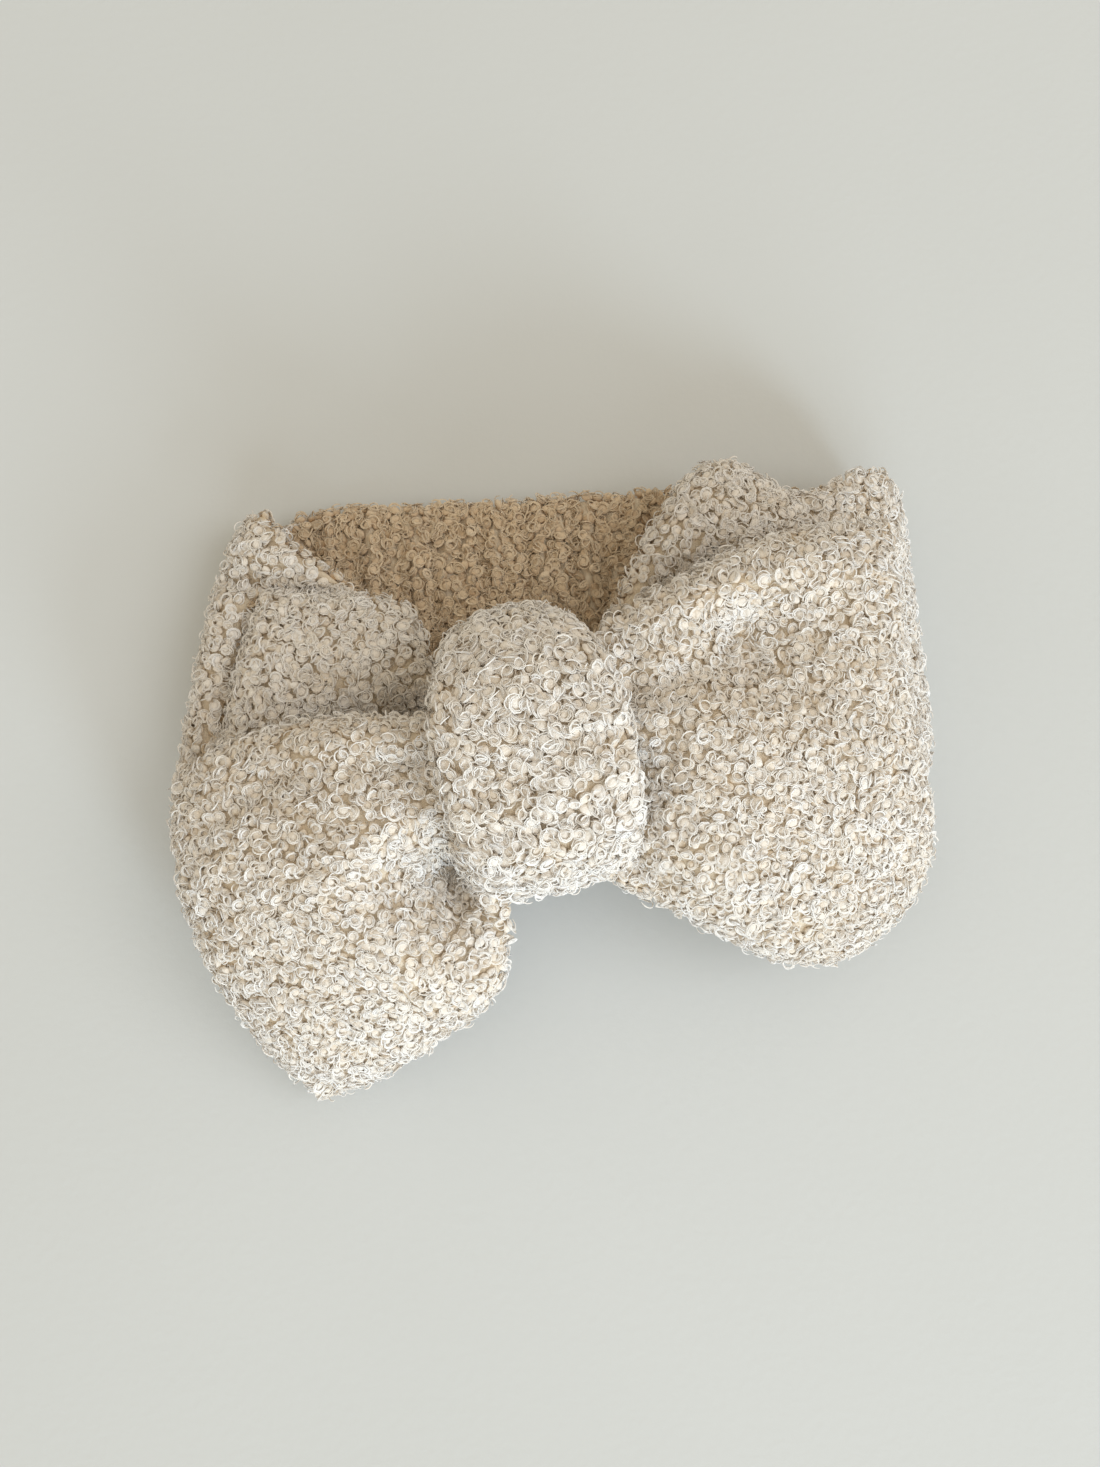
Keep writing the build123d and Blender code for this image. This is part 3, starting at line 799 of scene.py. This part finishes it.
def build_core(rows=24, columns=60):
    """The gathered middle of the bow inside the knot."""
    half = KNOT_LENGTH / 2 - 7
    angle = np.linspace(0, 2 * math.pi, columns, endpoint=False)
    points = []
    for share in np.linspace(-1, 1, rows):
        ease = math.sqrt(max(0.0, 1 - share**8)) * 0.94 + 0.06
        radius = 1 + 0.06 * np.sin(9 * angle + 2 * share)
        v = 31 * radius * np.cos(angle) * ease
        w = 13.2 * radius * np.sin(angle) * ease + 60.5
        way = np.array([math.cos(KNOT_HEADING), math.sin(KNOT_HEADING)])
        u = share * half
        points.append(np.stack([u * way[0] - v * way[1], u * way[1] + v * way[0], w], -1))
    faces = grid_faces(rows, columns, wrap_columns=True)
    faces.append(tuple(range(columns)))
    faces.append(tuple((rows - 1) * columns + j for j in reversed(range(columns))))
    return tidy(make_mesh("bow_core_cloth", np.array(points), faces))


# ---------------------------------------------------------------- put it together

def wear(piece, look):
    piece.data.materials.clear()
    piece.data.materials.append(look)
    return piece


def in_knot(points, margin=0.0):
    """True for points inside the knot's barrel, in millimetres about the knot."""
    way = np.array([math.cos(KNOT_HEADING), math.sin(KNOT_HEADING)])
    u = points[:, :2] @ way
    v = points[:, :2] @ np.array([-way[1], way[0]])
    w = points[:, 2] - (KNOT_FLOOR + KNOT_TOP) / 2
    reach = KNOT_LENGTH / 2 * knot_narrowing(np.arctan2(w, v)) - 4 + margin
    far = np.abs(u) / reach
    wide, tall = KNOT_WIDTH / 2 - PILE, (KNOT_TOP - KNOT_FLOOR) / 2 - PILE
    size = (np.abs(v) / wide) ** 2.5 + (np.abs(w) / tall) ** 2.5
    return (size < (1 - 0.22 * np.minimum(far, 1) ** 4) ** 2.5) & (far < 1)


band = build_band()
spans = {
    "band_back_outer": ("back_band_outer", "back_top_seam", "back_bottom_seam"),
    "band_back_inner": ("back_band_inner",),
    "band_right_fold_outer": ("right_fold_outer",), "band_right_fold_inner": ("right_fold_lining",),
    "band_front_outer": ("front_band_outer", "front_top_seam_left", "front_bottom_seam_left",
                         "front_top_seam_right", "front_bottom_seam_right"),
    "band_front_inner": ("front_band_lining",),
    "band_left_fold_outer": ("left_fold_outer",), "band_left_fold_inner": ("left_fold_lining",),
}


def facing_out_of(name):
    """Which spots of a band strip grow curls: its outer face, outside the knot."""
    inner = name.endswith("inner")

    def wanted_at(points, facing):
        wanted = ~in_knot(points)
        up = facing[:, 2]
        if "back" in name:
            wanted &= (up > -0.35) if inner else (up < 0.35)
        elif "front" in name:
            wanted &= (up < 0.35) if inner else (up > -0.35)
        elif inner:
            wanted &= (facing[:, 0] > -0.3) if "left" in name else (facing[:, 0] < 0.3)
        return wanted

    return wanted_at


for name, cloth in band.items():
    wear(cloth, BACKING)
    inner = name.endswith("inner")
    pressed = name == "band_back_outer" or "fold_inner" in name
    sparse = pressed or name == "band_front_inner"
    # inner faces take the darker copy of the curl yarn, which is painted shade
    curls = pile(name + "_curls", cloth, CURL_INNER_SHADED if inner else CURL,
                 CURL_SPACING * (SPARSE_SPACING if sparse else 1.0), facing_out_of(name),
                 lift=PRESSED_LIFT if pressed else OPEN_LIFT)
    for piece in [cloth, *curls]:
        if "fold" in name:
            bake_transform(piece)
        else:
            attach(piece, "back_band" if "back" in name else "front_band")
    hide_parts(*spans[name])

knot = wear(build_knot(), BACKING)


def knot_outside(points, facing):
    way = np.array([math.cos(KNOT_HEADING), math.sin(KNOT_HEADING)])
    u = np.abs(points[:, :2] @ way)
    return (u < KNOT_LENGTH / 2 + 3) & ~((np.abs(facing[:, :2] @ way) > 0.9) & (u < KNOT_LENGTH / 2 - 4))


knot_curls = pile("knot_curls", knot, CURL, CURL_SPACING * 1.02, knot_outside, size=1.12, lift=0.9)
for piece in [knot, *knot_curls]:
    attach(piece, "front_band")
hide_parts("knot_wrap")

core = wear(build_core(), BACKING)
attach(core, "front_band")
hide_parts("bow_center")


def near_knot(points):
    """1 where the knot grips a loop, fading to 0 beyond it."""
    return np.clip((GRIP_REACH - np.linalg.norm(points[:, :2], axis=1)) / GRIP_FADE, 0, 1)


def beside_knot(points, facing):
    return ~in_knot(points, 1.0)


LOOPS = {
    "left_loop": dict(
        net=LEFT_NET, crown=13.5, belly=7.0,
        dents=((0.05, -0.47, 0.13, 0.24, 25.0), (0.45, 0.62, 0.30, 0.18, 4.5),
               (0.55, -0.1, 0.25, 0.35, -1.5)),
        ripples=((3.2, 0.4, 1.6), (5.1, 1.9, 1.0)), hang=(0.5, (0.0, 0.0, 0.0), 0.3),
    ),
    "right_loop": dict(
        net=RIGHT_NET, crown=15.0, belly=8.5,
        dents=((0.44, 0.47, 0.30, 0.29, 13.0), (0.55, 0.80, 0.4, 0.14, -3.0), (0.15, 0.1, 0.1, 0.2, 2.0)),
        ripples=((3.4, 1.2, 1.5), (5.6, 0.3, 0.9)), hang=(0.62, (1.0, -15.0, -3.0), 0.38),
    ),
}
hinges = {joint["child"]: joint for joint in frame["joints"] if joint["type"] == "hinge"}
for body, shape in LOOPS.items():
    middle, front, back = loop_surfaces(**shape)
    cloth = wear(pillow(f"{body}_cloth", front, back), BACKING)
    settle(cloth, near_knot)
    curls = pile(f"{body}_curls", cloth, CURL, CURL_SPACING, beside_knot)
    pivot = np.array(hinges[body]["pos_m"])
    line = np.array(hinges[body]["axis"])
    outward = np.cross(line, (0, 0, 1))
    if (outward[:2] @ (np.array(middle[-1, len(middle[0]) // 2, :2]) * MM)) < 0:
        outward = -outward
    bend_start, bend_end = pivot - outward * 0.008, pivot + outward * 0.010
    for piece in [cloth, *curls]:
        tuple(bend_start)
        tuple(bend_end)
        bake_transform(piece)
    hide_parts(f"{body}_front", f"{body}_back", f"{body}_seam")

for node, look in (
    ("back_elastic", TAPE), ("elastic_tack_left", THREAD), ("elastic_tack_right", THREAD),
    ("gather_thread", THREAD), ("bow_tack", THREAD), ("knot_seam", BACKING),
):
    wear(bpy.data.objects[node], look)


# ---------------------------------------------------------------- table, light and camera

def add_floor():
    mesh = bpy.data.meshes.new("table_top")
    reach = 3.0
    corners = [(-reach, -reach, 0), (reach, -reach, 0), (reach, reach, 0), (-reach, reach, 0)]
    mesh.from_pydata(corners, [], [(0, 1, 2, 3)])
    floor = bpy.data.objects.new("table_top", mesh)
    bpy.context.scene.collection.objects.link(floor)
    wear(floor, floor_material())


def add_light(name, place, aim, size, power, color):
    light = bpy.data.lights.new(name, "AREA")
    light.shape = "DISK"
    light.size = size
    light.energy = power
    light.color = color
    lamp = bpy.data.objects.new(name, light)
    lamp.location = place
    lamp.rotation_euler = (Vector(aim) - Vector(place)).to_track_quat("-Z", "Y").to_euler()
    bpy.context.scene.collection.objects.link(lamp)


add_floor()
add_light("window_left", (-2.3, -4.3, 1.9), (0, 0, 0), 1.3, 6.0, (0.735, 0.885, 1.0))
add_light("window_right", (2.9, -3.9, 1.9), (0, 0, 0), 1.3, 100.0, (0.735, 0.885, 1.0))
add_light("window_wide", (0.8, -3.4, 1.6), (0, 0, 0), 2.6, 58.0, (0.74, 0.885, 1.0))
add_light("room_right", (1.5, -0.1, 1.7), (0, 0, 0), 1.4, 11.0, (0.92, 0.96, 1.0))
world = bpy.data.worlds.new("studio")
world.use_nodes = True
world.node_tree.nodes["Background"].inputs["Color"].default_value = (1.0, 0.905, 0.72, 1)
world.node_tree.nodes["Background"].inputs["Strength"].default_value = 0.64
bpy.context.scene.world = world
bpy.context.scene.view_settings.view_transform = "Standard"

CAMERA_TILT = math.radians(8.0)
CAMERA_REACH = 390.0
LOOK_AT = np.array([KNOT[0] + 5.0, KNOT[1] + 12.0, 0.0])
lens = bpy.data.cameras.new("camera")
lens.lens = 27.04
lens.sensor_width = 36.0
lens.clip_start = 0.01
camera = bpy.data.objects.new("camera", lens)
toward = np.array([0.0, math.sin(CAMERA_TILT), -math.cos(CAMERA_TILT)])
camera.location = Vector((LOOK_AT - toward * CAMERA_REACH) * MM)
camera.rotation_euler = (CAMERA_TILT, 0, 0)
bpy.context.scene.collection.objects.link(camera)
bpy.context.scene.camera = camera
